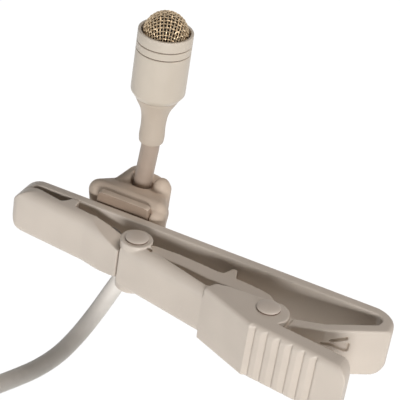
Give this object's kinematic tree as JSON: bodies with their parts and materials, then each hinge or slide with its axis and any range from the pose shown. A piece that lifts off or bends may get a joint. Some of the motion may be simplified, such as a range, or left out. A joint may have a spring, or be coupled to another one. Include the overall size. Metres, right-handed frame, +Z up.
{
  "type": "lavalier microphone",
  "caption": "Miniature lavalier microphone with a woven grille dome, held on a sprung lapel clip, with its lead and a locking jack plug.",
  "frame": {"origin": "on the inner face of the clip's straight beam where the jaws meet and hold the garment, half way up the clip", "axes": "+X along the clip from its nose to its bend, +Y from the jaws to the cable holder behind the beam, +Z up along the microphone"},
  "size_m": [0.0474, 0.0649, 0.0398],
  "materials": {
    "clip_frame": "smooth satin moulding",
    "front_jaw": "smooth satin moulding",
    "lever": "smooth satin moulding",
    "front_pin": "paint over a domed rivet",
    "rear_pin": "paint over a domed rivet",
    "holder_stud": "turned",
    "holder_plate": "fine matt moulding",
    "cable_holder": "soft, slightly worn",
    "capsule_housing": "satin paint",
    "grille_dome": "woven wire, dulled",
    "grille_seat": "turned",
    "acoustic_felt": "felt",
    "capsule_can": "drawn",
    "diaphragm_ring": "turned",
    "diaphragm": "metallised film",
    "spacer_ring": "film",
    "backplate": "turned",
    "insulator_cup": "moulded",
    "capsule_board": "laminate",
    "capsule_seal": "moulded",
    "rear_body": "soft satin moulding",
    "cable_stub": "smooth sheath",
    "cord_run": "smooth sheath",
    "cord_coil": "smooth sheath",
    "coil_tie": "woven hook and loop",
    "plug_boot": "moulded",
    "plug_shell": "dark chrome",
    "locking_collar": "fluted",
    "jack_sleeve": "gold plate",
    "jack_ring": "gold plate",
    "jack_tip": "gold plate",
    "jack_insulators": "moulded"
  },
  "bodies": {
    "frame": {"clip_frame": "clip_frame", "holder_stud": "holder_stud", "cord_run": "cord_run", "cord_coil": "cord_coil", "coil_tie": "coil_tie", "plug_boot": "plug_boot", "plug_shell": "plug_shell", "jack_sleeve": "jack_sleeve", "jack_ring": "jack_ring", "jack_tip": "jack_tip", "jack_insulators": "jack_insulators"},
    "lever": {"lever": "lever", "front_pin": "front_pin", "rear_pin": "rear_pin"},
    "jaw": {"front_jaw": "front_jaw"},
    "swivel": {"holder_plate": "holder_plate", "cable_holder": "cable_holder", "capsule_housing": "capsule_housing", "grille_dome": "grille_dome", "grille_seat": "grille_seat", "acoustic_felt": "acoustic_felt", "capsule_can": "capsule_can", "diaphragm_ring": "diaphragm_ring", "diaphragm": "diaphragm", "spacer_ring": "spacer_ring", "backplate": "backplate", "insulator_cup": "insulator_cup", "capsule_board": "capsule_board", "capsule_seal": "capsule_seal", "rear_body": "rear_body", "cable_stub": "cable_stub"},
    "collar": {"locking_collar": "locking_collar"}
  },
  "joints": [
    {"name": "lever_press", "type": "hinge", "parent": "frame", "child": "lever", "pos_m": [0.02625, -0.00595, 0], "axis": [0, 0, 1], "range_deg": [0, 10], "stiffness_Nm_per_rad": 0.08, "springref_deg": -11.46},
    {"name": "jaw_tip", "type": "hinge", "parent": "lever", "child": "jaw", "pos_m": [0.0108, -0.0028, 0], "axis": [0, 0, 1], "range_deg": [0, 6.4]},
    {"name": "holder_swivel", "type": "hinge", "parent": "frame", "child": "swivel", "pos_m": [0.00705, 0.002, 0], "axis": [0, 1, 0], "range_deg": [-30, 30], "deforming": ["cord_run"]},
    {"name": "collar_spin", "type": "hinge", "parent": "frame", "child": "collar", "pos_m": [0.0389, -0.021, -0.0124], "axis": [0, 1, 0], "continuous": true}
  ],
  "couplings": [
    {"joint": "jaw_tip", "follows": "lever_press", "ratio": 0.62}
  ]
}
